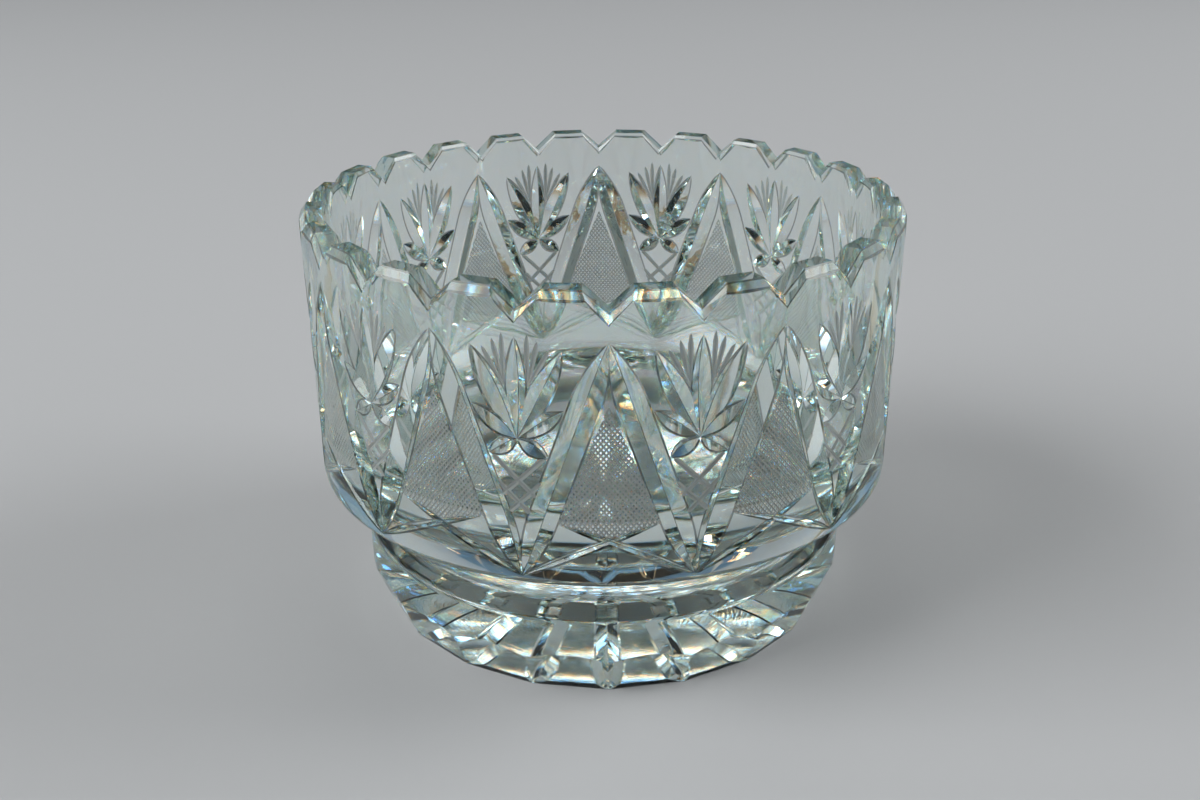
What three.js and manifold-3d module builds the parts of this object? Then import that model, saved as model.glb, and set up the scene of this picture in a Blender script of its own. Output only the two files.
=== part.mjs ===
// Footed cut crystal bowl, blown as one thick piece of clear glass and cut on the wheel.
// Millimetres, +Z up. The origin is the centre of the resting ring, and the point of one
// triangle motif looks along -Y. Angles are measured from -Y towards +X.

import * as THREE from 'three';
import { mergeVertices } from 'three/addons/utils/BufferGeometryUtils.js';
import Module from 'manifold-3d';

// Body of the blank
const rimRadius = 90;           // outside, at the rim
const rimHeight = 128.3;
const edgeRadius = 89.6;        // outside, at the lower edge of the body
const edgeHeight = 47.8;        // where the wall starts to turn in towards the neck
const edgeTurnDepth = 15;       // how far the rounded lower edge reaches in
const edgeTurnHeight = 6;
const wallThickness = 7.7;      // at the rim

// Inside of the bowl
const floorHeight = 37;
const floorRadius = 40;         // where the floor starts to sweep up into the wall
const floorDish = 1.5;          // how much deeper the floor is at its centre
const sweepHeight = 36;         // height of the sweep from floor to wall

// Neck and foot
const neckRadius = 70;
const neckFillet = 3;
const footRadius = 76.9;
const footHeight = 26.8;
const footTopSlope = 1.2;       // rise of the foot's top face towards the neck
const footEdgeRound = 1.8;
const restRingWidth = 9;        // flat ring that the bowl stands on
const recessHeight = 10;        // of the hollow inside that ring, at its centre
const recessSharpness = 3;      // power of its curve: higher is flatter, with steeper sides

// Scalloped rim
const scallopCount = 24;
const scallopFlat = 10.4;       // flat top of one scallop, along the outside
const notchDepth = 5.6;
const outerBevelWidth = 1.8;    // across the rim
const outerBevelDrop = 2.5;     // down the outside
const innerBevelWidth = 0.9;
const innerBevelDrop = 1.4;

// Wheel-cut pattern of the wall: triangles of deep mitres with a fan of leaves between them
const motifCount = 12;
const wheelAngle = 92;          // between the two faces of a mitre cut, degrees
const apexDrop = 12.9;          // from the rim down to the point of a triangle
const armWidth = 8;
const armRiseAtPoint = 18;      // length over which an arm rises out of the glass
const armRiseAtFoot = 18;
const crossWidth = 2.2;         // long shallow cuts that cross under each triangle
const crossEndArc = 13.5;       // where they end, beside the triangle's centre line
const crossEndRise = 16.7;      // and above the lower edge
const crossBow = 1.2;
const crossRiseShare = 1 / 3;   // of their length, over which they sink in
const hubDrop = 40;             // from the rim down to the hub of a fan
const crownLeaf = { length: 28, width: 5.4, lean: 0 };
const flankLeaf = { length: 27.6, width: 6.2, lean: 26 };
const sideLeaf = { length: 15, width: 5, lean: 55 };
const lowerLeaf = { length: 9.4, width: 4.4, lean: 122 };

// Facets round the foot and star under it
const facetCount = 20;
const facetHeight = 14.7;       // at the middle of a facet
const facetInset = 5.7;         // how far the foot's bottom edge is cut in
const rayDepth = 2.6;
const rayWheelAngle = 100;
const rayStart = 9;             // radius of the plain spot at the star's centre
const rayOverrun = 1.4;         // how far past the bottom edge a ray fades out
const rayRiseShare = 1 / 3;     // of its length, over which it rises out there

// Fineness of the faceted solid
const latheSegments = 60;
const arcSteps = 2;
const sweepSteps = 5;
const recessSteps = 4;
const armRiseSteps = 3;         // along the rise of a wheel cut, at each of its ends
const rayRiseSteps = 3;
const fineRiseSteps = 2;
const clearance = 1.2;          // how far a cutter stands off the glass

const motifPitch = 2 * Math.PI / motifCount;
const scallopPitch = 2 * Math.PI / scallopCount;
const facetPitch = 2 * Math.PI / facetCount;
const innerRadius = rimRadius - wallThickness;
const facetBase = footRadius - facetInset;
const restInner = facetBase - restRingWidth;
const halfTangent = (degrees) => Math.tan(THREE.MathUtils.degToRad(degrees) / 2);

// Outside radius of the wall at a height, on its straight taper
function wallRadius(height) {
  const share = (height - edgeHeight) / (rimHeight - edgeHeight);
  return edgeRadius + (rimRadius - edgeRadius) * share;
}

// Height of the foot's underside at a radius
function undersideHeight(radius) {
  return recessHeight * Math.max(0, 1 - (radius / restInner) ** recessSharpness);
}

const wasm = await Module();
wasm.setup();

// Turns a closed geometry into a solid for joining and cutting
function toSolid(geometry) {
  const bare = geometry.clone();
  bare.deleteAttribute('normal');
  bare.deleteAttribute('uv');
  const merged = mergeVertices(bare);
  const corners = merged.index.array;
  const triangles = [];
  for (let i = 0; i < corners.length; i += 3) {
    const [a, b, c] = corners.slice(i, i + 3);
    if (a !== b && b !== c && c !== a) triangles.push(a, b, c);
  }
  return new wasm.Manifold(new wasm.Mesh({
    numProp: 3,
    vertProperties: new Float32Array(merged.attributes.position.array),
    triVerts: new Uint32Array(triangles),
  }));
}

function toGeometry(solid) {
  const mesh = solid.getMesh();
  const geometry = new THREE.BufferGeometry();
  geometry.setAttribute('position', new THREE.BufferAttribute(mesh.vertProperties, 3));
  geometry.setIndex(new THREE.BufferAttribute(mesh.triVerts, 1));
  geometry.computeVertexNormals();
  return geometry;
}

function indexedGeometry(points, triangles) {
  const geometry = new THREE.BufferGeometry().setFromPoints(points);
  geometry.setIndex(triangles);
  return geometry;
}

// Half section of the uncut blank, from the underside's centre round to the inside floor
function blankProfile() {
  const neckFoot = footHeight + footTopSlope;
  const edgeUnder = edgeHeight - edgeTurnHeight;
  const turnStart = edgeRadius - edgeTurnDepth;
  const sweepReach = innerRadius - floorRadius;
  const profile = new THREE.Path();
  profile.moveTo(0, recessHeight);
  for (let step = 1; step <= recessSteps; step += 1) {
    const radius = restInner * Math.sqrt(step / recessSteps);
    profile.lineTo(radius, undersideHeight(radius));
  }
  profile.lineTo(footRadius, 0);
  profile.lineTo(footRadius, footHeight - footEdgeRound);
  profile.quadraticCurveTo(footRadius, footHeight, footRadius - footEdgeRound, footHeight);
  profile.lineTo(neckRadius + neckFillet, neckFoot);
  profile.quadraticCurveTo(neckRadius, neckFoot, neckRadius, neckFoot + neckFillet);
  profile.lineTo(neckRadius, edgeUnder - neckFillet);
  profile.quadraticCurveTo(neckRadius, edgeUnder, turnStart, edgeUnder);
  profile.absellipse(turnStart, edgeHeight, edgeTurnDepth, edgeTurnHeight, -Math.PI / 2, 0);
  profile.lineTo(rimRadius, rimHeight);
  profile.lineTo(innerRadius, rimHeight);
  profile.lineTo(innerRadius, floorHeight + sweepHeight);
  for (let step = 1; step <= sweepSteps; step += 1) {
    const turn = step / sweepSteps * Math.PI / 2;
    profile.lineTo(floorRadius + sweepReach * Math.cos(turn),
      floorHeight + sweepHeight * (1 - Math.sin(turn)));
  }
  profile.lineTo(0, floorHeight - floorDish);
  return profile.getPoints(arcSteps);
}

function blank() {
  const geometry = new THREE.LatheGeometry(blankProfile(), latheSegments);
  return toSolid(geometry.rotateX(Math.PI / 2));
}

// Heights and angles of the rim's outline, set inwards by an offset from the glass's edge:
// for each scallop its left notch, then both corners of its flat top
function rimOutline(offset) {
  const pitchArc = scallopPitch * rimRadius;
  const slope = Math.atan(2 * notchDepth / (pitchArc - scallopFlat));
  const cornerArc = scallopFlat / 2 + offset * Math.tan(slope / 2);
  const notchBottom = rimHeight - notchDepth;
  const outline = [];
  for (let i = 0; i < scallopCount; i += 1) {
    const middle = (i + 0.5) * scallopPitch;
    outline.push({ angle: middle - scallopPitch / 2, z: notchBottom - offset / Math.cos(slope) });
    outline.push({ angle: middle - cornerArc / rimRadius, z: rimHeight - offset });
    outline.push({ angle: middle + cornerArc / rimRadius, z: rimHeight - offset });
  }
  return outline;
}

function onCylinder(radius, angle, z) {
  return new THREE.Vector3(radius * Math.sin(angle), -radius * Math.cos(angle), z);
}

// Closed ring that takes away everything above the scalloped and bevelled rim
function rimCutter() {
  const insideReach = 1 + clearance / innerBevelWidth;
  const outsideReach = 1 + clearance / outerBevelWidth;
  const stations = [
    { radius: innerRadius - clearance, offset: innerBevelDrop * insideReach },
    { radius: innerRadius + innerBevelWidth, offset: 0 },
    { radius: rimRadius - outerBevelWidth, offset: 0 },
    { radius: rimRadius + clearance, offset: outerBevelDrop * outsideReach },
  ];
  const rings = stations.map(({ radius, offset }) =>
    rimOutline(offset).map(({ angle, z }) => onCylinder(radius, angle, z)));
  const lid = rimHeight + clearance;
  const outermost = stations[stations.length - 1];
  for (const { radius, offset } of [outermost, stations[0]]) {
    rings.push(rimOutline(offset).map(({ angle }) => onCylinder(radius, angle, lid)));
  }
  const count = rings[0].length;
  const triangles = [];
  rings.forEach((ring, r) => {
    const here = r * count;
    const beyond = ((r + 1) % rings.length) * count;
    ring.forEach((point, i) => {
      const next = (i + 1) % count;
      triangles.push(here + i, beyond + next, beyond + i, here + i, here + next, beyond + next);
    });
  });
  return toSolid(indexedGeometry(rings.flat(), triangles));
}

// Depths along a wheel cut that sinks in and rises out on an arc at each end. The first and
// last stations lie off the glass, where the wheel has left it.
function cutStations(length, depth, riseIn, riseOut, riseSteps = fineRiseSteps) {
  const overrun = Math.sqrt(1 + clearance / depth) - 1;
  const rise = [];
  for (let step = 0; step <= riseSteps; step += 1) {
    const share = (1 + overrun) * step / riseSteps - overrun;
    rise.push({ share, depth: depth * (1 - (1 - share) ** 2) });
  }
  const into = rise.map((at) => ({ along: at.share * riseIn, depth: at.depth }));
  const out = rise.map((at) => ({ along: length - at.share * riseOut, depth: at.depth })).reverse();
  return riseIn + riseOut < length ? [...into, ...out] : [...into, ...out.slice(1)];
}

// Solid swept by a V-edged wheel. Its valley follows stations { u, v, depth } on a surface, and
// place(u, v, out) gives the point in space that lies `out` off that surface.
function grooveSolid(stations, spread, place) {
  const last = stations.length - 1;
  const points = stations.flatMap(({ u, v, depth }, i) => {
    if (i === 0 || i === last) return [place(u, v, -depth)];
    const before = stations[i - 1];
    const after = stations[i + 1];
    const run = Math.hypot(after.u - before.u, after.v - before.v);
    const sideU = -(after.v - before.v) / run;
    const sideV = (after.u - before.u) / run;
    const half = (depth + clearance) * spread;
    return [
      place(u, v, -depth),
      place(u + half * sideU, v + half * sideV, clearance),
      place(u - half * sideU, v - half * sideV, clearance),
    ];
  });
  const end = points.length - 1;
  const triangles = [0, 2, 1, 0, 3, 2, 0, 1, 3];
  for (let ring = 1; ring + 3 < end; ring += 3) {
    for (let side = 0; side < 3; side += 1) {
      const a = ring + side;
      const b = ring + (side + 1) % 3;
      triangles.push(a, b, b + 3, a, b + 3, a + 3);
    }
  }
  triangles.push(end, end - 3, end - 2, end, end - 2, end - 1, end, end - 1, end - 3);
  return toSolid(indexedGeometry(points, triangles));
}

// Wheel cut on the wall from one point to another, both [arc, height] beside the line at angle
// `centre`. `bow` lifts the middle of its course off the straight line.
function wallCut(centre, from, to, { width, riseIn, riseOut, riseSteps, bow = 0 }) {
  const spread = halfTangent(wheelAngle);
  const length = Math.hypot(to[0] - from[0], to[1] - from[1]);
  const depth = width / 2 / spread;
  const stations = cutStations(length, depth, riseIn, riseOut, riseSteps).map((station) => {
    const share = station.along / length;
    return {
      u: from[0] + (to[0] - from[0]) * share,
      v: from[1] + (to[1] - from[1]) * share + 4 * bow * share * (1 - share),
      depth: station.depth,
    };
  });
  return grooveSolid(stations, spread, (u, v, out) =>
    onCylinder(wallRadius(v) + out, centre + u / wallRadius(v), v));
}

// Two deep arms from the triangle's point down to the lower edge of the body, and the two
// shallow cuts that rise from the arms' feet and cross
function triangleCuts(centre) {
  const halfPitchArc = motifPitch / 2 * edgeRadius;
  const apex = [0, rimHeight - apexDrop];
  const arm = {
    width: armWidth, riseIn: armRiseAtPoint, riseOut: armRiseAtFoot, riseSteps: armRiseSteps,
  };
  const crossRun = Math.hypot(halfPitchArc + crossEndArc, crossEndRise);
  const crossRiseIn = crossRun * crossRiseShare;
  const cross = { width: crossWidth, riseIn: crossRiseIn, riseOut: crossRun - crossRiseIn, bow: crossBow };
  return [-1, 1].flatMap((side) => {
    const foot = [side * halfPitchArc, edgeHeight];
    const crossEnd = [-side * crossEndArc, edgeHeight + crossEndRise];
    return [wallCut(centre, apex, foot, arm), wallCut(centre, foot, crossEnd, cross)];
  });
}

// Leaves of one fan, pointed at both ends, spread from its hub
function fanCuts(centre) {
  const hub = [0, rimHeight - hubDrop];
  const leafCut = ({ length, width, lean }, side) => {
    const angle = side * THREE.MathUtils.degToRad(lean);
    const tip = [hub[0] + length * Math.sin(angle), hub[1] + length * Math.cos(angle)];
    return wallCut(centre, hub, tip, { width, riseIn: length / 2, riseOut: length / 2 });
  };
  const paired = [flankLeaf, sideLeaf, lowerLeaf];
  const leaning = [-1, 1].flatMap((side) => paired.map((leaf) => leafCut(leaf, side)));
  return [leafCut(crownLeaf, 1), ...leaning];
}

// Flat cuts that lean in towards the bottom of the foot
function facetCuts() {
  const lean = Math.atan(facetInset / facetHeight);
  const width = 2 * footRadius * Math.sin(facetPitch);
  return Array.from({ length: facetCount }, (unused, i) => {
    const geometry = new THREE.BoxGeometry(width, 2 * facetInset, 3 * facetHeight);
    geometry.translate(0, -facetInset, 0).rotateX(lean).translate(0, -facetBase, 0);
    return toSolid(geometry.rotateZ((i + 0.5) * facetPitch));
  });
}

// Star of V-cut rays under the foot, each running out between two facets
function rayCuts() {
  const spread = halfTangent(rayWheelAngle);
  const length = facetBase / Math.cos(facetPitch / 2) + rayOverrun - rayStart;
  const riseOut = length * rayRiseShare;
  const stations = cutStations(length, rayDepth, length - riseOut, riseOut, rayRiseSteps)
    .map(({ along, depth }) => ({ u: 0, v: rayStart + along, depth }));
  const axis = new THREE.Vector3(0, 0, 1);
  return Array.from({ length: facetCount }, (unused, i) =>
    grooveSolid(stations, spread, (u, v, out) =>
      new THREE.Vector3(u, -v, undersideHeight(v) - out).applyAxisAngle(axis, i * facetPitch)));
}

function cutBowl() {
  const cutters = [rimCutter(), ...facetCuts(), ...rayCuts()];
  for (let i = 0; i < motifCount; i += 1) {
    cutters.push(...triangleCuts(i * motifPitch), ...fanCuts((i + 0.5) * motifPitch));
  }
  return cutters.reduce((glass, cutter) => glass.subtract(cutter), blank());
}

const crystal = new THREE.MeshStandardMaterial({ color: 0xe3ebe8, roughness: 0.03, metalness: 0 });
const bowl = new THREE.Mesh(toGeometry(cutBowl()), crystal);
bowl.name = 'bowl';

const model = new THREE.Group();
model.add(bowl);
export default model;
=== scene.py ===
"""Looks of the cut crystal bowl: one thick piece of clear glass, cut on the wheel.

The glass is turned from the half section of the blank and every cut is taken out of it as a
solid. Sizes are in millimetres until the finished mesh is written in metres. Angles go round
the bowl from -Y towards +X, and u, v, out are arc, height and distance off the wall.
"""

import math
from dataclasses import dataclass

import bpy
import numpy as np
from mathutils import Matrix, Vector


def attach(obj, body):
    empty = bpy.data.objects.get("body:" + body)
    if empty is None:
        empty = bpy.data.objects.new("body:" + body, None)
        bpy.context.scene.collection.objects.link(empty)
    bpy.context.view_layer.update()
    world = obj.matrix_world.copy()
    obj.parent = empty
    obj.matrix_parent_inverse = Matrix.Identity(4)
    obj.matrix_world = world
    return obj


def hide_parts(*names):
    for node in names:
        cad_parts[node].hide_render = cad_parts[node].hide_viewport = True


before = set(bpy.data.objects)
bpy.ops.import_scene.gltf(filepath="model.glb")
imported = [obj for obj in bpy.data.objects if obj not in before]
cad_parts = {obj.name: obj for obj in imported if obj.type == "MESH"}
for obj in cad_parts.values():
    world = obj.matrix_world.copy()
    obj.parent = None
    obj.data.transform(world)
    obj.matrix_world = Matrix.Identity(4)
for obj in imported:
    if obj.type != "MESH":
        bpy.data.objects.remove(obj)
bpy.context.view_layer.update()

MM = 0.001

# Body of the blank
RIM_RADIUS = 90.0
RIM_HEIGHT = 128.3
EDGE_RADIUS = 89.6
EDGE_HEIGHT = 47.8
EDGE_TURN_DEPTH = 15.0
EDGE_TURN_HEIGHT = 6.0
WALL_THICKNESS = 7.7

# Inside of the bowl
FLOOR_HEIGHT = 37.0
FLOOR_RADIUS = 40.0
FLOOR_DISH = 1.5
SWEEP_HEIGHT = 36.0

# Neck and foot
NECK_RADIUS = 70.0
NECK_FILLET = 3.0
FOOT_RADIUS = 76.9
FOOT_HEIGHT = 26.8
FOOT_TOP_SLOPE = 1.2
FOOT_EDGE_ROUND = 1.8
REST_RING_WIDTH = 9.0
RECESS_HEIGHT = 10.0
RECESS_SHARPNESS = 3.0

# Scalloped rim
SCALLOP_COUNT = 24
SCALLOP_FLAT = 10.4
NOTCH_DEPTH = 5.6
OUTER_BEVEL_WIDTH = 1.8
OUTER_BEVEL_DROP = 2.5
INNER_BEVEL_WIDTH = 0.9
INNER_BEVEL_DROP = 1.4

# Wheel-cut pattern of the wall
MOTIF_COUNT = 12
WHEEL_ANGLE = 92.0
APEX_DROP = 12.9
ARM_WIDTH = 8.0
ARM_RISE = 18.0
CROSS_WIDTH = 2.2
CROSS_END_ARC = 13.5
CROSS_END_RISE = 16.7
CROSS_BOW = 1.2
CROSS_RISE_SHARE = 1 / 3
HUB_DROP = 40.0
# Leaves of a fan: length, width and lean from upright in degrees
CROWN_LEAF = (28.0, 5.4, 0.0)
PAIRED_LEAVES = ((27.6, 6.2, 26.0), (15.0, 5.0, 55.0), (9.4, 4.4, 122.0))

# Facets round the foot and star under it
FACET_COUNT = 20
FACET_HEIGHT = 14.7
FACET_INSET = 5.7
RAY_DEPTH = 2.6
RAY_WHEEL_ANGLE = 100.0
RAY_START = 9.0
RAY_OVERRUN = 1.4
RAY_RISE_SHARE = 1 / 3

# Polished edges of the cuts; the shares keep lip and blunt bottom small where a cut runs out
LIP_WIDTH = 0.55
LIP_ANGLE = math.radians(22)
LIP_SHARE = 0.4
WHEEL_BLUNT = 0.12
BLUNT_SHARE = 0.3
RIM_STRIP = 0.3

# Frosted fine cutting
HATCH_ACROSS = 1.41
HATCH_UP = 1.71
HATCH_DEPTH = 0.2
HATCH_PLATEAU = 0.5
HATCH_SINK = 0.02
HATCH_TOP_DROP = 29.8
HATCH_CORNER_ARC = 13.9
FEATHER_WIDTH = 0.95
FEATHER_START = (3.0, 102.5)
FEATHER_TIPS = ((3.3, 117.2), (6.0, 115.6), (8.9, 113.2))
FEATHER_RISE_SHARE = 0.75
LATTICE_WIDTH = 0.95
LATTICE_CROSSINGS = (69.9, 76.4)
LATTICE_REACH = 7.0
LATTICE_RISE = 1.0

# Fineness of the mesh: counts of pieces, and lengths of a step along a cut
LATHE_SEGMENTS = 240
RECESS_STEPS = 24
FILLET_STEPS = 8
EDGE_TURN_STEPS = 16
WALL_STEPS = 20
INNER_WALL_STEPS = 14
SWEEP_STEPS = 24
KITE_STEPS = 8
CUT_STEP = 2.2
LATTICE_STEP = 1.6
CREASE = math.radians(12)

# How far cutters reach past the glass, and a facet's box as a share of the facet's height
CLEARANCE = 1.2
FACET_REACH = 1.5

# Smallest heights and lengths that count
HAIR = 0.01
TINY = 1e-6

# Colours of the glass, with two shades of each half of the spectrum and how strongly it is bent
CRYSTAL_IOR = 1.55
MIRROR_COLOUR = (0.88, 0.915, 0.905, 1)
FROST_COLOUR = (0.56, 0.59, 0.58, 1)
FROST_THROUGH = 0.5
SPECTRUM = (
    ((0.70, 0.5, 0.285), (0.69, 0.497, 0.28), 1.52),
    ((0.275, 0.5, 0.71), (0.27, 0.497, 0.705), 1.58),
)

# Noises of the glass: cells per metre, and detail
SHEEN_NOISE = (160, 3)
TINT_NOISE = (30, 1)
GRAIN_NOISE = (900, 2)
STREAK_NOISE = (60, 2)
WAVE_DETAIL = 1.5

# Turning marks: how narrow they are, and between which heights in metres they come and go
STREAK_STRETCH = 24
NECK_FADE_IN = (0.0265, 0.0305)
NECK_FADE_OUT = (0.043, 0.040)

# Studio: sines of elevation where the pale wall ends and where the side reflectors lie
WALL_SPAN = (0.035, 0.11)
WING_FOOT = (0.05, 0.12)
WING_HEAD = (0.5, 0.7)
WING_SIDE = (0.55, 0.8)
WALL_COLOUR = (0.5, 0.51, 0.52, 1)
CEILING_COLOUR = (0.012, 0.013, 0.014, 1)
WING_COLOUR = (1.25, 1.3, 1.33, 1)

# Paper under the bowl, which fades out between two distances in metres
PAPER_COLOUR = (0.62, 0.63, 0.64, 1)
PAPER_ROUGHNESS = 0.6
PAPER_FADE = (1.9, 3.2)

# Softboxes: name, place and size in metres, power in watts
SOFTBOXES = (
    ("softbox_left", (-2.2, -0.8, 1.9), (2.0, 1.6), 52),
    ("softbox_right", (2.4, 0.3, 1.5), (1.4, 1.6), 28),
    ("softbox_back", (0.2, 2.4, 2.0), (2.6, 0.35), 9),
)
SOFTBOX_AIM = (0, 0, 0.06)
LIGHT_BOUNCES = 24
FIREFLY_CLAMP = 30

# Camera of the photograph, fitted to the bowl
CAMERA_DISTANCE = 422.8
CAMERA_ELEVATION = math.radians(24.052)
CAMERA_TARGET = 60.1
CAMERA_PAN = math.radians(0.161)
CAMERA_ROLL = math.radians(-0.290)
CAMERA_BEARING = math.radians(-0.9)
CAMERA_LENS = 39.30
CAMERA_SENSOR = 36.0
CAMERA_CLIP = 10.0

# The last finish lets less light through the glass: painted shade that draws edges of the cuts as
# dark lines
POLISHED, CUT, FROSTED, PAINTED_DARK_EDGE = range(4)

INNER_RADIUS = RIM_RADIUS - WALL_THICKNESS
FACET_BASE = FOOT_RADIUS - FACET_INSET
REST_INNER = FACET_BASE - REST_RING_WIDTH
MOTIF_PITCH = 2 * math.pi / MOTIF_COUNT
SCALLOP_PITCH = 2 * math.pi / SCALLOP_COUNT
FACET_PITCH = 2 * math.pi / FACET_COUNT
TRIANGLE_HALF_ARC = MOTIF_PITCH / 2 * EDGE_RADIUS


@dataclass
class Solid:
    """Closed mesh with its faces pointing out, and the finish of each face."""
    points: np.ndarray
    faces: list
    finish: list


def merged(solids):
    points, faces, finish, start = [], [], [], 0
    for solid in solids:
        points.append(solid.points)
        faces.extend(tuple(start + corner for corner in face) for face in solid.faces)
        finish.extend(solid.finish)
        start += len(solid.points)
    return Solid(np.concatenate(points), faces, finish)


def turned(solid, angle):
    cosine, sine = math.cos(angle), math.sin(angle)
    turn = np.array([[cosine, sine, 0], [-sine, cosine, 0], [0, 0, 1]])
    return Solid(solid.points @ turn, solid.faces, solid.finish)


def round_copies(solid, count, first=0.0):
    return merged([turned(solid, first + i * 2 * math.pi / count) for i in range(count)])


def on_cylinder(radius, angle, height):
    radius, angle, height = np.broadcast_arrays(radius, angle, height)
    return np.stack([radius * np.sin(angle), -radius * np.cos(angle), height], axis=-1)


def wall_radius(height):
    share = (height - EDGE_HEIGHT) / (RIM_HEIGHT - EDGE_HEIGHT)
    return EDGE_RADIUS + (RIM_RADIUS - EDGE_RADIUS) * share


def on_wall(u, v, out):
    radius = wall_radius(v)
    return on_cylinder(radius + out, u / radius, v)


def underside_height(radius):
    return RECESS_HEIGHT * np.maximum(0, 1 - (radius / REST_INNER) ** RECESS_SHARPNESS)


def on_underside(u, v, out):
    return np.stack([u, -v, underside_height(v) - out], axis=-1)


# Half section of the blank
def quarter(start, corner, end):
    """Curve from start to end that is drawn towards a corner."""
    t = np.linspace(0, 1, FILLET_STEPS + 1)[:, None]
    start, corner, end = np.array(start), np.array(corner), np.array(end)
    return (1 - t) ** 2 * start + 2 * t * (1 - t) * corner + t ** 2 * end


def ellipse(centre, width, height, first, last, steps):
    """Arc of an ellipse between two angles in degrees."""
    turn = np.radians(np.linspace(first, last, steps + 1))
    return np.stack([centre[0] + width * np.cos(turn), centre[1] + height * np.sin(turn)], axis=-1)


def blank_profile():
    """Points of (radius, height) from the middle of the underside, round the rim, to the middle
    of the floor."""
    neck_foot = FOOT_HEIGHT + FOOT_TOP_SLOPE
    edge_under = EDGE_HEIGHT - EDGE_TURN_HEIGHT
    turn_centre = (EDGE_RADIUS - EDGE_TURN_DEPTH, EDGE_HEIGHT)
    sweep_centre = (FLOOR_RADIUS, FLOOR_HEIGHT + SWEEP_HEIGHT)
    sweep_width = INNER_RADIUS - FLOOR_RADIUS
    recess = REST_INNER * np.sqrt(np.linspace(0, 1, RECESS_STEPS + 1))
    outer = np.linspace(EDGE_HEIGHT, RIM_HEIGHT, WALL_STEPS + 1)[1:]
    inner = np.linspace(RIM_HEIGHT, sweep_centre[1], INNER_WALL_STEPS + 1)[1:-1]
    return np.concatenate([
        np.stack([recess, underside_height(recess)], axis=-1),
        [(FOOT_RADIUS, 0)],
        quarter((FOOT_RADIUS, FOOT_HEIGHT - FOOT_EDGE_ROUND), (FOOT_RADIUS, FOOT_HEIGHT),
                (FOOT_RADIUS - FOOT_EDGE_ROUND, FOOT_HEIGHT)),
        quarter((NECK_RADIUS + NECK_FILLET, neck_foot), (NECK_RADIUS, neck_foot),
                (NECK_RADIUS, neck_foot + NECK_FILLET)),
        quarter((NECK_RADIUS, edge_under - NECK_FILLET), (NECK_RADIUS, edge_under),
                (turn_centre[0], edge_under)),
        ellipse(turn_centre, EDGE_TURN_DEPTH, EDGE_TURN_HEIGHT, -90, 0, EDGE_TURN_STEPS)[1:],
        np.stack([wall_radius(outer), outer], axis=-1),
        [(INNER_RADIUS, RIM_HEIGHT)],
        [(INNER_RADIUS, height) for height in inner],
        ellipse(sweep_centre, sweep_width, SWEEP_HEIGHT, 0, -90, SWEEP_STEPS),
        [(0, FLOOR_HEIGHT - FLOOR_DISH)],
    ])


def blank(profile):
    angles = np.arange(LATHE_SEGMENTS) * 2 * math.pi / LATHE_SEGMENTS
    rings = profile[1:-1]
    body = on_cylinder(rings[:, :1], angles[None, :], rings[:, 1:]).reshape(-1, 3)
    poles = on_cylinder(profile[[0, -1], 0], 0.0, profile[[0, -1], 1])
    bottom = len(body)
    top = bottom + 1
    faces = []
    for i in range(LATHE_SEGMENTS):
        j = (i + 1) % LATHE_SEGMENTS
        faces.append((bottom, j, i))
        for ring in range(len(rings) - 1):
            here = ring * LATHE_SEGMENTS
            above = here + LATHE_SEGMENTS
            faces.append((here + i, here + j, above + j, above + i))
        last = (len(rings) - 1) * LATHE_SEGMENTS
        faces.append((last + i, last + j, top))
    return Solid(np.concatenate([body, poles]), faces, [POLISHED] * len(faces))


# Cutters
def swept(section, finishes):
    """Solid along the stations of a section, with a finish for each of its sides. It closes on the
    first and the last station of the section's first corner."""
    sides = len(section)
    rings = np.stack(section, axis=1)[1:-1].reshape(-1, 3)
    points = np.vstack([section[0][0], rings, section[0][-1]])
    end = len(points) - 1
    faces, finish = [], []
    for side in range(sides):
        beyond = (side + 1) % sides
        faces.append((0, 1 + beyond, 1 + side))
        faces.append((end, end - sides + side, end - sides + beyond))
        for ring in range(1, end - sides, sides):
            a, b = ring + side, ring + beyond
            faces.append((a, b, b + sides, a + sides))
        finish += [finishes[side]] * (len(faces) - len(finish))
    return Solid(points, faces, finish)


def groove(course, wheel_angle, place, finish=CUT):
    """Solid swept by a V-edged wheel along a course of (u, v, depth). Its bottom is a little
    blunt, as the wheel's edge leaves it, and near the surface it widens into a lip, where
    polishing has softened the edges of the cut."""
    u, v, depth = course.T
    run_u, run_v = np.gradient(u), np.gradient(v)
    run = np.hypot(run_u, run_v)
    spread = math.tan(math.radians(wheel_angle) / 2)
    lip_fall = math.tan(LIP_ANGLE)
    shoulder = np.maximum(-LIP_WIDTH * lip_fall, -LIP_SHARE * depth)
    shoulder = np.where(depth > 0, shoulder, HAIR - depth)
    brim = np.maximum(HAIR, shoulder + HAIR)
    lid = np.full_like(depth, 2 * CLEARANCE)
    half_shoulder = (depth + shoulder) * spread
    half_brim = half_shoulder + (brim - shoulder) / lip_fall
    half_floor = np.minimum(WHEEL_BLUNT, BLUNT_SHARE * half_shoulder)
    floor = half_floor / spread - depth
    flank = [(half_floor, floor), (half_shoulder, shoulder), (half_brim, brim), (half_brim, lid)]
    mirrored = [(-half, out) for half, out in reversed(flank)]
    section = [place(u - half * run_v / run, v + half * run_u / run, out)
               for half, out in [(0, (floor - depth) / 2)] + flank + mirrored]
    sides = len(section)
    finishes = [finish] * sides
    # Bottom and lips let less light through: painted shade that draws the cut's edges as dark
    # lines
    if finish == CUT:
        for bottom_or_lip in (0, 2, sides - 3, sides - 1):
            finishes[bottom_or_lip] = PAINTED_DARK_EDGE
    return swept(section, finishes)


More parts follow.
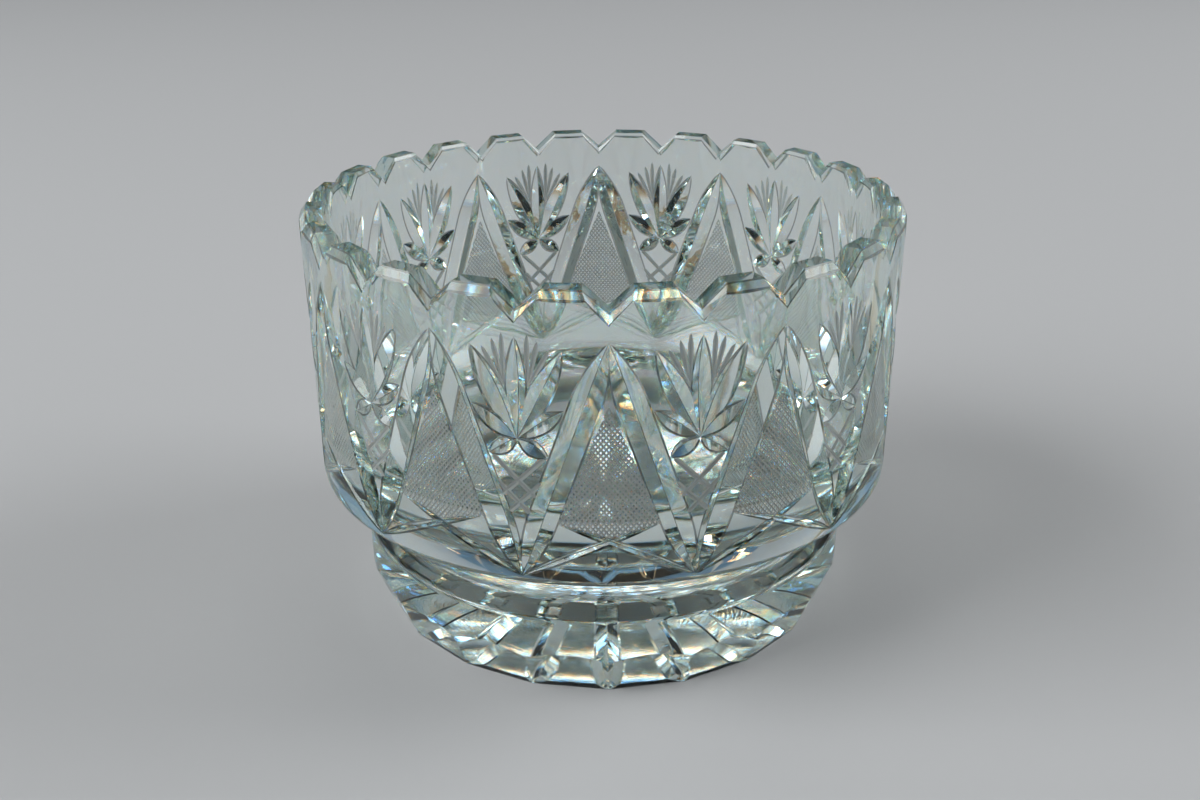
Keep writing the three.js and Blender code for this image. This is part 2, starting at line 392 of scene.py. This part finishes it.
def cut_course(start, end, depth, rise_in, rise_out, bow=0.0, step=CUT_STEP):
    """Stations of a wheel cut that sinks in and rises out on an arc at each end. The first and
    last lie off the glass."""
    start, end = np.array(start), np.array(end)
    length = math.dist(start, end)
    overrun = math.sqrt(1 + CLEARANCE / depth) - 1
    first, last = -overrun * rise_in, length + overrun * rise_out
    along = np.linspace(first, last, math.ceil((last - first) / step) + 1)
    ends = np.minimum(np.minimum(along / rise_in, (length - along) / rise_out), 1)
    share = (along / length)[:, None]
    lift = 4 * bow * share * (1 - share) * np.array([[0, 1]])
    sunk = depth * (1 - (1 - ends[:, None]) ** 2)
    return np.hstack([start + (end - start) * share + lift, sunk])


def wall_cut(start, end, width, rise_in, rise_out, finish=CUT, **options):
    depth = width / 2 / math.tan(math.radians(WHEEL_ANGLE) / 2)
    course = cut_course(start, end, depth, rise_in, rise_out, **options)
    return groove(course, WHEEL_ANGLE, on_wall, finish)


def rim_outline(offset):
    """Angles and heights round the scalloped edge, moved down square to it by an offset."""
    pitch_arc = SCALLOP_PITCH * RIM_RADIUS
    slope = math.atan(2 * NOTCH_DEPTH / (pitch_arc - SCALLOP_FLAT))
    corner = (SCALLOP_FLAT / 2 + offset * math.tan(slope / 2)) / RIM_RADIUS
    notch = RIM_HEIGHT - NOTCH_DEPTH - offset / math.cos(slope)
    middles = (np.arange(SCALLOP_COUNT) + 0.5) * SCALLOP_PITCH
    angles = np.stack([middles - SCALLOP_PITCH / 2, middles - corner, middles + corner], axis=-1)
    heights = np.tile([notch, RIM_HEIGHT - offset, RIM_HEIGHT - offset], SCALLOP_COUNT)
    return angles.ravel(), heights


def rim_cutter():
    """Ring that leaves the scallops with a bevel on either side. The polished strips run along
    the edges of the bevels, in glass that lets less light through: painted shade that draws them
    as dark lines."""
    inner_fall = INNER_BEVEL_DROP / INNER_BEVEL_WIDTH
    outer_fall = OUTER_BEVEL_DROP / OUTER_BEVEL_WIDTH
    stations = [
        (INNER_RADIUS - CLEARANCE, (INNER_BEVEL_WIDTH + CLEARANCE) * inner_fall),
        (INNER_RADIUS + RIM_STRIP, (INNER_BEVEL_WIDTH - RIM_STRIP) * inner_fall),
        (INNER_RADIUS + INNER_BEVEL_WIDTH, 0),
        (RIM_RADIUS - OUTER_BEVEL_WIDTH, 0),
        (RIM_RADIUS - OUTER_BEVEL_WIDTH + RIM_STRIP, RIM_STRIP * outer_fall),
        (RIM_RADIUS - RIM_STRIP, (OUTER_BEVEL_WIDTH - RIM_STRIP) * outer_fall),
        (RIM_RADIUS + CLEARANCE, (OUTER_BEVEL_WIDTH + CLEARANCE) * outer_fall),
    ]
    strips = (0, 3, 5)
    rings = [on_cylinder(radius, *rim_outline(offset)) for radius, offset in stations]
    lid = RIM_HEIGHT + CLEARANCE
    rings += [on_cylinder(radius, rim_outline(offset)[0], lid)
              for radius, offset in (stations[-1], stations[0])]
    count = len(rings[0])
    faces, finish = [], []
    for ring in range(len(rings)):
        here, beyond = ring * count, (ring + 1) % len(rings) * count
        for i in range(count):
            j = (i + 1) % count
            faces += [(here + i, beyond + j, beyond + i), (here + i, here + j, beyond + j)]
        finish += [PAINTED_DARK_EDGE if ring in strips else CUT] * 2 * count
    return Solid(np.concatenate(rings), faces, finish)


def facet_cutter():
    """Box that leans in towards the bottom of the foot."""
    lean = math.atan(FACET_INSET / FACET_HEIGHT)
    half_width = FOOT_RADIUS * math.sin(FACET_PITCH)
    corners = np.array([(x, y, z) for x in (-1, 1) for y in (-1, 0) for z in (-1, 1)], float)
    corners *= (half_width, 2 * FACET_INSET, FACET_REACH * FACET_HEIGHT)
    cosine, sine = math.cos(lean), math.sin(lean)
    tilt = np.array([[1, 0, 0], [0, cosine, sine], [0, -sine, cosine]])
    points = corners @ tilt - (0, FACET_BASE, 0)
    faces = [(0, 1, 3, 2), (4, 6, 7, 5), (0, 4, 5, 1), (2, 3, 7, 6), (0, 2, 6, 4), (1, 5, 7, 3)]
    return Solid(points, faces, [CUT] * len(faces))


def ray_cutter():
    length = FACET_BASE / math.cos(FACET_PITCH / 2) + RAY_OVERRUN - RAY_START
    rise_out = length * RAY_RISE_SHARE
    start, end = (0, RAY_START), (0, RAY_START + length)
    course = cut_course(start, end, RAY_DEPTH, length - rise_out, rise_out)
    return groove(course, RAY_WHEEL_ANGLE, on_underside)


def triangle_cutters():
    """Deep arm and shallow crossing cut of each side of a triangle."""
    apex = (0, RIM_HEIGHT - APEX_DROP)
    cross_run = math.hypot(TRIANGLE_HALF_ARC + CROSS_END_ARC, CROSS_END_RISE)
    cutters = []
    for side in (-1, 1):
        foot = (side * TRIANGLE_HALF_ARC, EDGE_HEIGHT)
        cross_end = (-side * CROSS_END_ARC, EDGE_HEIGHT + CROSS_END_RISE)
        cutters.append(wall_cut(apex, foot, ARM_WIDTH, ARM_RISE, ARM_RISE))
        cutters.append(wall_cut(foot, cross_end, CROSS_WIDTH, cross_run * CROSS_RISE_SHARE,
                                cross_run * (1 - CROSS_RISE_SHARE), bow=CROSS_BOW))
    return cutters


def leaf_cutters():
    """Leaves of a fan, which all start at its hub."""
    hub = np.array([0, RIM_HEIGHT - HUB_DROP])
    leaves = [(CROWN_LEAF, 1)] + [(leaf, side) for leaf in PAIRED_LEAVES for side in (-1, 1)]
    cutters = []
    for (length, width, lean), side in leaves:
        angle = side * math.radians(lean)
        tip = hub + length * np.array([math.sin(angle), math.cos(angle)])
        cutters.append(wall_cut(hub, tip, width, length / 2, length / 2))
    return cutters


def feather_cutters():
    """Thin frosted lines between the leaves, deepest near their tips."""
    cutters = []
    for tip in FEATHER_TIPS:
        for side in (-1, 1):
            mirror = np.array([side, 1])
            start, end = mirror * FEATHER_START, mirror * tip
            run = math.dist(start, end)
            cutters.append(wall_cut(start, end, FEATHER_WIDTH, run * FEATHER_RISE_SHARE,
                                    run * (1 - FEATHER_RISE_SHARE), FROSTED))
    return cutters


def lattice_cutters():
    """Open lattice under a fan: two frosted lines each way."""
    cutters = []
    for height in LATTICE_CROSSINGS:
        for side in (-1, 1):
            start = (-side * LATTICE_REACH, height - LATTICE_REACH)
            end = (side * LATTICE_REACH, height + LATTICE_REACH)
            cutters.append(wall_cut(start, end, LATTICE_WIDTH, LATTICE_RISE, LATTICE_RISE,
                                    FROSTED, step=LATTICE_STEP))
    return cutters


# Fine cross-cut of the triangle panels
def slab_sides(columns, rows, upper_start):
    """Side faces between a lower and an upper grid of points."""
    border = [(i, 0) for i in range(columns)]
    border += [(columns, j) for j in range(rows)]
    border += [(i, rows) for i in range(columns, 0, -1)]
    border += [(0, j) for j in range(rows, 0, -1)]
    ids = [i * (rows + 1) + j for i, j in border]
    pairs = zip(ids, ids[1:] + ids[:1])
    return [(a, b, upper_start + b, upper_start + a) for a, b in pairs]


def grid_quads(columns, rows):
    quads = []
    for i in range(columns):
        for j in range(rows):
            corner = i * (rows + 1) + j
            quads.append((corner, corner + rows + 1, corner + rows + 2, corner + 1))
    return quads


def hatch_corners():
    """Kite that the fine cross-cut fills: bottom, right, top and left corner."""
    bow_share = TRIANGLE_HALF_ARC / (TRIANGLE_HALF_ARC + CROSS_END_ARC)
    lift = 4 * CROSS_BOW * bow_share * (1 - bow_share)
    bottom = (0.0, EDGE_HEIGHT + CROSS_END_RISE * bow_share + lift)
    side = EDGE_HEIGHT + CROSS_END_RISE
    top = (0.0, RIM_HEIGHT - HATCH_TOP_DROP)
    return np.array([bottom, (HATCH_CORNER_ARC, side), top, (-HATCH_CORNER_ARC, side)])


def hatch_kite():
    """Kite-shaped plug that bounds the cross-cut."""
    bottom, right, top, left = hatch_corners()
    shares = np.linspace(0, 1, KITE_STEPS + 1)
    p, q = np.meshgrid(shares, shares, indexing="ij")
    p, q = p[..., None], q[..., None]
    spots = (1 - p) * (1 - q) * bottom + p * (1 - q) * right + p * q * top + (1 - p) * q * left
    u, v = spots.reshape(-1, 2).T
    lower = on_wall(u, v, -2 * CLEARANCE)
    upper = on_wall(u, v, CLEARANCE / 2)
    quads = grid_quads(KITE_STEPS, KITE_STEPS)
    faces = [quad[::-1] for quad in quads]
    faces += [tuple(len(lower) + corner for corner in quad) for quad in quads]
    faces += slab_sides(KITE_STEPS, KITE_STEPS, len(lower))
    return Solid(np.concatenate([lower, upper]), faces, [CUT] * len(faces))


def hatch_field():
    """Slab whose underside is the cross-cut: crossing V cuts that leave small flat tops. Its grid
    runs along the cuts, so that each cell is a diamond of the pattern."""
    corners = hatch_corners() / (HATCH_ACROSS / 2, HATCH_UP / 2)
    rising = (corners[:, 1] + corners[:, 0]) / 2
    falling = (corners[:, 1] - corners[:, 0]) / 2
    i = np.arange(math.floor(rising.min()) - 1, math.ceil(rising.max()) + 2)
    j = np.arange(math.floor(falling.min()) - 1, math.ceil(falling.max()) + 2)
    columns, rows = len(i) - 1, len(j) - 1

    def spots(i, j, out):
        i, j = np.meshgrid(i, j, indexing="ij")
        return on_wall((i - j) * HATCH_ACROSS / 2, (i + j) * HATCH_UP / 2, out).reshape(-1, 3)

    lower = spots(i, j, -HATCH_DEPTH)
    upper = spots(i, j, CLEARANCE)
    near = (1 - HATCH_PLATEAU) / 2
    far = 1 - near
    tops = [spots(i[:-1] + a, j[:-1] + b, -HATCH_SINK)
            for a, b in ((near, near), (far, near), (far, far), (near, far))]
    tops_start = len(lower) + len(upper)
    quads = grid_quads(columns, rows)
    faces, finish = [], []
    for cell, quad in enumerate(quads):
        top = [tops_start + corner * len(quads) + cell for corner in range(4)]
        for side in range(4):
            beyond = (side + 1) % 4
            faces.append((quad[beyond], quad[side], top[side], top[beyond]))
        faces.append(tuple(top[::-1]))
        finish += [FROSTED] * 4 + [CUT]
    others = [tuple(len(lower) + corner for corner in quad) for quad in quads]
    others += slab_sides(columns, rows, len(lower))
    points = np.concatenate([lower, upper, *tops])
    return Solid(points, faces + others, finish + [CUT] * len(others))


# Boolean cutting
def solid_object(name, solid, finishes):
    mesh = bpy.data.meshes.new(name)
    mesh.from_pydata((solid.points * MM).tolist(), [], solid.faces)
    for finish in finishes:
        mesh.materials.append(finish)
    mesh.polygons.foreach_set("material_index", solid.finish)
    mesh.update()
    piece = bpy.data.objects.new(name, mesh)
    bpy.context.scene.collection.objects.link(piece)
    return piece


def mesh_values(items, name, width=1, kind=float):
    """Value of one name for each item of a mesh, or a row of values."""
    values = np.empty(len(items) * width, dtype=kind)
    items.foreach_get(name, values)
    return values if width == 1 else values.reshape(-1, width)


def mesh_solid(piece):
    """Solid of an object's mesh, back in millimetres."""
    mesh = piece.data
    points = mesh_values(mesh.vertices, "co", 3) / MM
    faces = [tuple(polygon.vertices) for polygon in mesh.polygons]
    finish = mesh_values(mesh.polygons, "material_index", kind=int).tolist()
    return Solid(points, faces, finish)


def combine(base, solids, operation, finishes):
    """Cuts base with each solid in turn, or keeps what it shares with it."""
    tools = [solid_object("cutter", solid, finishes) for solid in solids]
    for tool in tools:
        modifier = base.modifiers.new("cut", "BOOLEAN")
        modifier.operation = operation
        modifier.solver = "MANIFOLD"
        modifier.material_mode = "TRANSFER"
        modifier.object = tool
    depsgraph = bpy.context.evaluated_depsgraph_get()
    mesh = bpy.data.meshes.new_from_object(base.evaluated_get(depsgraph))
    base.modifiers.clear()
    base.data = mesh
    for tool in tools:
        bpy.data.objects.remove(tool)


def hatch_cutter(finishes):
    """Cross-cut of one panel, trimmed to its kite."""
    field = solid_object("hatch", hatch_field(), finishes)
    combine(field, [hatch_kite()], "INTERSECT", finishes)
    hatch = mesh_solid(field)
    bpy.data.objects.remove(field)
    return hatch


def cut_bowl(profile, finishes):
    """The blank with all cuts taken out, one kind of cut after the other."""
    triangles = [hatch_cutter(finishes)] + triangle_cutters()
    fans = feather_cutters() + lattice_cutters() + leaf_cutters()
    passes = [rim_cutter()]
    passes += [round_copies(solid, MOTIF_COUNT) for solid in triangles]
    passes += [round_copies(solid, MOTIF_COUNT, MOTIF_PITCH / 2) for solid in fans]
    half_count = FACET_COUNT // 2
    for first in (0, 1):
        passes.append(round_copies(facet_cutter(), half_count, (first + 0.5) * FACET_PITCH))
        passes.append(round_copies(ray_cutter(), half_count, first * FACET_PITCH))
    glass = solid_object("cut_bowl", blank(profile), finishes)
    combine(glass, passes, "DIFFERENCE", finishes)
    return glass


# Exact normals where the blank's turned surface is left
def smooth_runs(profile):
    """Stretches of the half section between creases, each with the normals at its points."""
    legs = np.diff(profile, axis=0)
    keep = np.hypot(*legs.T) > TINY
    legs = legs[keep]
    points = np.concatenate([profile[:1], profile[1:][keep]])
    headings = np.unwrap(np.arctan2(legs[:, 1], legs[:, 0]))
    creases = (np.flatnonzero(np.abs(np.diff(headings)) > CREASE) + 1).tolist()
    breaks = [0] + creases + [len(legs)]
    runs = []
    for first, last in zip(breaks, breaks[1:]):
        own = headings[first:last]
        lengths = np.hypot(*legs[first:last].T)
        share = lengths[:-1] / (lengths[:-1] + lengths[1:])
        inner = own[:-1] + (own[1:] - own[:-1]) * share
        turn = np.concatenate([own[:1], inner, own[-1:]])
        runs.append((points[first:last + 1], np.stack([np.sin(turn), -np.cos(turn)], axis=-1)))
    return runs


def nearest_on_run(spots, points):
    """Leg and share along it of the point of a run that is nearest to each spot."""
    start, leg = points[:-1], np.diff(points, axis=0)
    offset = spots[:, None, :] - start[None, :, :]
    share = np.clip((offset * leg).sum(axis=-1) / (leg ** 2).sum(axis=-1), 0, 1)
    gap = np.hypot(*np.moveaxis(offset - share[..., None] * leg, -1, 0))
    nearest = gap.argmin(axis=1)
    rows = np.arange(len(spots))
    return nearest, share[rows, nearest], gap[rows, nearest]


def half_section(points):
    """Radius and height of points in space."""
    return np.stack([np.hypot(points[:, 0], points[:, 1]), points[:, 2]], axis=-1)


def normals_from_run(points, run, run_normals):
    """Normals of the turned surface at points that lie on one run of its half section."""
    spots = half_section(points)
    leg, share, _ = nearest_on_run(spots, run)
    across = run_normals[leg] * (1 - share)[:, None] + run_normals[leg + 1] * share[:, None]
    across /= np.hypot(*across.T)[:, None]
    radius = np.maximum(spots[:, 0], TINY)
    outward = points[:, :2] * across[:, :1] / radius[:, None]
    return np.column_stack([outward, across[:, 1]])


def set_normals(piece, profile):
    """Sets the normals of the polished faces; a normal of zero leaves Blender's own in place."""
    mesh = piece.data
    mesh.polygons.foreach_set("use_smooth", [True] * len(mesh.polygons))
    mesh.set_sharp_from_angle(angle=CREASE)
    points = mesh_values(mesh.vertices, "co", 3) / MM
    centres = mesh_values(mesh.polygons, "center", 3) / MM
    corners = mesh_values(mesh.loops, "vertex_index", kind=int)
    counts = mesh_values(mesh.polygons, "loop_total", kind=int)
    finish = mesh_values(mesh.polygons, "material_index", kind=int)
    runs = smooth_runs(profile)
    gaps = np.stack([nearest_on_run(half_section(centres), run)[2] for run, _ in runs])
    face_run = np.where(finish == POLISHED, gaps.argmin(axis=0), -1)
    corner_run = np.repeat(face_run, counts)
    normals = np.zeros((len(corners), 3))
    for number, (run, run_normals) in enumerate(runs):
        own = corner_run == number
        normals[own] = normals_from_run(points[corners[own]], run, run_normals)
    mesh.normals_split_custom_set(normals.tolist())


# Shader nodes
def new_material(name):
    material = bpy.data.materials.new(name)
    material.use_nodes = True
    material.node_tree.nodes.clear()
    return material


def finished(material, surface):
    """The material with a shader as its surface."""
    tree = material.node_tree
    output = tree.nodes.new("ShaderNodeOutputMaterial")
    tree.links.new(surface, output.inputs["Surface"])
    return material


def feed(tree, value, socket):
    """Links a socket to another one, or sets it to a number or colour."""
    if isinstance(value, bpy.types.NodeSocket):
        tree.links.new(value, socket)
    else:
        socket.default_value = value


def own_place(tree):
    """Place of each point in its object's own coordinates, in metres."""
    return tree.nodes.new("ShaderNodeTexCoord").outputs["Object"]


def separated(tree, vector):
    """Sockets of the three parts of a vector."""
    split = tree.nodes.new("ShaderNodeSeparateXYZ")
    tree.links.new(vector, split.inputs["Vector"])
    return [split.outputs[axis] for axis in "XYZ"]


def joined(tree, *parts):
    """Vector of its first parts; the rest is zero."""
    vector = tree.nodes.new("ShaderNodeCombineXYZ")
    for part, axis in zip(parts, "XYZ"):
        tree.links.new(part, vector.inputs[axis])
    return vector.outputs["Vector"]


def length_of(tree, vector):
    measure = tree.nodes.new("ShaderNodeVectorMath")
    measure.operation = "LENGTH"
    tree.links.new(vector, measure.inputs[0])
    return measure.outputs["Value"]


def reckoned(tree, operation, *values):
    """Result of one operation on sockets and numbers."""
    step = tree.nodes.new("ShaderNodeMath")
    step.operation = operation
    for value, socket in zip(values, step.inputs):
        feed(tree, value, socket)
    return step.outputs["Value"]


def faded(tree, value, span):
    """0 to 1 as the value goes from one end of a span to the other."""
    fade = tree.nodes.new("ShaderNodeMapRange")
    fade.interpolation_type = "SMOOTHSTEP"
    fade.inputs["From Min"].default_value, fade.inputs["From Max"].default_value = span
    tree.links.new(value, fade.inputs["Value"])
    return fade.outputs["Result"]


def ranged(tree, value, span):
    """Spreads a value from 0 to 1 over a span."""
    spread = tree.nodes.new("ShaderNodeMapRange")
    spread.inputs["To Min"].default_value, spread.inputs["To Max"].default_value = span
    tree.links.new(value, spread.inputs["Value"])
    return spread.outputs["Result"]


def noise(tree, place, scale, detail):
    """Noise at a place; scale is in cells per metre."""
    texture = tree.nodes.new("ShaderNodeTexNoise")
    texture.inputs["Scale"].default_value = scale
    texture.inputs["Detail"].default_value = detail
    tree.links.new(place, texture.inputs["Vector"])
    return texture.outputs["Fac"]


def bumped(tree, height, depth, below=None):
    """Normal of a surface with a relief, which may lie on another; depth is in metres."""
    bump = tree.nodes.new("ShaderNodeBump")
    bump.inputs["Distance"].default_value = depth
    tree.links.new(height, bump.inputs["Height"])
    if below:
        tree.links.new(below, bump.inputs["Normal"])
    return bump.outputs["Normal"]


def blended(tree, factor, first, second):
    """Colour between two."""
    mix = tree.nodes.new("ShaderNodeMix")
    mix.data_type = "RGBA"
    feed(tree, first, mix.inputs["A"])
    feed(tree, second, mix.inputs["B"])
    tree.links.new(factor, mix.inputs["Factor"])
    return mix.outputs["Result"]


def mixed(tree, factor, first, second):
    """Shader between two."""
    mix = tree.nodes.new("ShaderNodeMixShader")
    feed(tree, factor, mix.inputs["Fac"])
    tree.links.new(first, mix.inputs[1])
    tree.links.new(second, mix.inputs[2])
    return mix.outputs["Shader"]


# Glass
def turning_marks(tree, place):
    """Noise drawn out round the bowl's axis, 0 away from the neck."""
    x, y, z = separated(tree, place)
    rise = reckoned(tree, "SUBTRACT", z, length_of(tree, joined(tree, x, y)))
    drawn_out = joined(tree, x, y, reckoned(tree, "MULTIPLY", rise, STREAK_STRETCH))
    marks = noise(tree, drawn_out, *STREAK_NOISE)
    for span in (NECK_FADE_IN, NECK_FADE_OUT):
        marks = reckoned(tree, "MULTIPLY", marks, faded(tree, z, span))
    return marks


def bent_light(tree, place, normal, sheen, shade):
    """Refraction of both halves of the spectrum, added up."""
    tint = noise(tree, place, *TINT_NOISE)
    bend = tree.nodes.new("ShaderNodeAddShader")
    for index, (colour, other, ior) in enumerate(SPECTRUM):
        refraction = tree.nodes.new("ShaderNodeBsdfRefraction")
        refraction.distribution = "GGX"
        refraction.inputs["IOR"].default_value = ior
        # A shade below 1 darkens the bent light: painted shade on the edges of the cuts
        tones = [(*(part * shade for part in tone), 1) for tone in (colour, other)]
        tree.links.new(blended(tree, tint, *tones), refraction.inputs["Color"])
        tree.links.new(sheen, refraction.inputs["Roughness"])
        tree.links.new(normal, refraction.inputs["Normal"])
        tree.links.new(refraction.outputs["BSDF"], bend.inputs[index])
    return bend.outputs["Shader"]


def mirrored_light(tree, normal, sheen):
    mirror = tree.nodes.new("ShaderNodeBsdfAnisotropic")
    mirror.distribution = "GGX"
    mirror.inputs["Color"].default_value = MIRROR_COLOUR
    tree.links.new(sheen, mirror.inputs["Roughness"])
    tree.links.new(normal, mirror.inputs["Normal"])
    return mirror.outputs["BSDF"]


def scattered_light(tree, normal):
    """Light that a ground face throws back and lets through."""
    halves = []
    for kind in ("ShaderNodeBsdfDiffuse", "ShaderNodeBsdfTranslucent"):
        ground = tree.nodes.new(kind)
        ground.inputs["Color"].default_value = FROST_COLOUR
        tree.links.new(normal, ground.inputs["Normal"])
        halves.append(ground.outputs["BSDF"])
    return mixed(tree, FROST_THROUGH, *halves)


def crystal(name, wave_size, wave_depth, roughness, streak_depth=0.0, frost=(0, 0), shade=1.0):
    """Clear lead glass. It mirrors by Fresnel and bends the rest twice, a warm share a little less
    than a cool one. The two add up to white, and part as colours in a real cut. Waves are the
    slight unevenness of a hand-worked face and streaks the turning marks of the neck, both in
    metres. Frost is the share of light that a ground face scatters, and shade the share of the
    bent light that stays; below 1 it is painted shade, which draws edges of the cuts as dark
    lines.
    Roughness and frost each vary between two values."""
    material = new_material(name)
    tree = material.node_tree
    place = own_place(tree)
    normal = bumped(tree, noise(tree, place, 1 / wave_size, WAVE_DETAIL), wave_depth)
    if streak_depth:
        normal = bumped(tree, turning_marks(tree, place), streak_depth, normal)
    sheen = ranged(tree, noise(tree, place, *SHEEN_NOISE), roughness)
    fresnel = tree.nodes.new("ShaderNodeFresnel")
    fresnel.inputs["IOR"].default_value = CRYSTAL_IOR
    tree.links.new(normal, fresnel.inputs["Normal"])
    bent = bent_light(tree, place, normal, sheen, shade)
    glass = mixed(tree, fresnel.outputs["Fac"], bent, mirrored_light(tree, normal, sheen))
    if any(frost):
        share = ranged(tree, noise(tree, place, *GRAIN_NOISE), frost)
        glass = mixed(tree, share, glass, scattered_light(tree, normal))
    return finished(material, glass)


def glass_finishes():
    """Materials in the order of POLISHED, CUT, FROSTED and PAINTED_DARK_EDGE."""
    clear = (0.0, 0.03)
    return [
        crystal("crystal_polished", wave_size=0.014, wave_depth=0.00010, roughness=clear,
                streak_depth=0.00013),
        crystal("crystal_cut", wave_size=0.006, wave_depth=0.00008, roughness=clear),
        crystal("crystal_frosted", wave_size=0.0004, wave_depth=0.00002, roughness=(0.22, 0.38),
                frost=(0.7, 0.92)),
        # Edges let through less than half the bent light: painted shade that draws them as dark
        # lines
        crystal("crystal_edge_painted_dark", wave_size=0.006, wave_depth=0.00008, roughness=clear, shade=0.45),
    ]


# Studio
def floor_paper():
    """Matt paper that fades into the wall behind it, with the distance from the bowl."""
    material = new_material("floor_paper")
    tree = material.node_tree
    paper = tree.nodes.new("ShaderNodeBsdfPrincipled")
    paper.inputs["Base Color"].default_value = PAPER_COLOUR
    paper.inputs["Roughness"].default_value = PAPER_ROUGHNESS
    clear = tree.nodes.new("ShaderNodeBsdfTransparent")
    fade = faded(tree, length_of(tree, own_place(tree)), PAPER_FADE)
    return finished(material, mixed(tree, fade, paper.outputs["BSDF"], clear.outputs["BSDF"]))


def add_floor():
    reach = PAPER_FADE[1]
    corners = [(-reach, -reach, 0), (reach, -reach, 0), (reach, reach, 0), (-reach, reach, 0)]
    mesh = bpy.data.meshes.new("studio_floor")
    mesh.from_pydata(corners, [], [(0, 1, 2, 3)])
    mesh.materials.append(floor_paper())
    floor = bpy.data.objects.new("studio_floor", mesh)
    bpy.context.scene.collection.objects.link(floor)


def add_world():
    """Pale wall all round under a dark ceiling, with a large white reflector at either side."""
    world = bpy.data.worlds.new("studio")
    world.use_nodes = True
    tree = world.node_tree
    direction = tree.nodes.new("ShaderNodeTexCoord").outputs["Generated"]
    x, _, height = separated(tree, direction)
    wing = faded(tree, reckoned(tree, "ABSOLUTE", x), WING_SIDE)
    for span in (WING_FOOT, WING_HEAD[::-1]):
        wing = reckoned(tree, "MULTIPLY", wing, faded(tree, height, span))
    room = blended(tree, faded(tree, height, WALL_SPAN), WALL_COLOUR, CEILING_COLOUR)
    lit = blended(tree, wing, room, WING_COLOUR)
    tree.links.new(lit, tree.nodes["Background"].inputs["Color"])
    bpy.context.scene.world = world


def add_softboxes():
    for name, place, size, power in SOFTBOXES:
        lamp = bpy.data.lights.new(name, "AREA")
        lamp.shape = "RECTANGLE"
        lamp.size, lamp.size_y = size
        lamp.energy = power
        holder = bpy.data.objects.new(name, lamp)
        holder.location = place
        aim = Vector(SOFTBOX_AIM) - Vector(place)
        holder.rotation_euler = aim.to_track_quat("-Z", "Y").to_euler()
        bpy.context.scene.collection.objects.link(holder)


def add_camera():
    back = Vector((0, -math.cos(CAMERA_ELEVATION), math.sin(CAMERA_ELEVATION)))
    place = Vector((0, 0, CAMERA_TARGET)) + back * CAMERA_DISTANCE
    pan = Matrix.Rotation(CAMERA_PAN, 3, "Z")
    back = pan @ back
    right = pan @ Vector((1, 0, 0))
    up = back.cross(right)
    cosine, sine = math.cos(CAMERA_ROLL), math.sin(CAMERA_ROLL)
    right, up = right * cosine + up * sine, up * cosine - right * sine
    axes = Matrix((right, up, back)).transposed()
    bearing = Matrix.Rotation(CAMERA_BEARING, 4, "Z")
    data = bpy.data.cameras.new("camera")
    data.lens = CAMERA_LENS
    data.sensor_width = CAMERA_SENSOR
    data.clip_start = CAMERA_CLIP * MM
    camera = bpy.data.objects.new("camera", data)
    camera.matrix_world = bearing @ Matrix.Translation(place * MM) @ axes.to_4x4()
    bpy.context.scene.collection.objects.link(camera)
    bpy.context.scene.camera = camera


def set_up_scene():
    """Plain view of the colours, and enough bounces for light to cross the thick glass."""
    scene = bpy.context.scene
    scene.view_settings.view_transform = "Standard"
    scene.cycles.max_bounces = LIGHT_BOUNCES
    scene.cycles.transmission_bounces = LIGHT_BOUNCES
    scene.cycles.glossy_bounces = LIGHT_BOUNCES
    scene.cycles.sample_clamp_indirect = FIREFLY_CLAMP


bowl_profile = blank_profile()
bowl = cut_bowl(bowl_profile, glass_finishes())
set_normals(bowl, bowl_profile)
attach(bowl, "root")
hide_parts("bowl")

set_up_scene()
add_camera()
add_floor()
add_world()
add_softboxes()
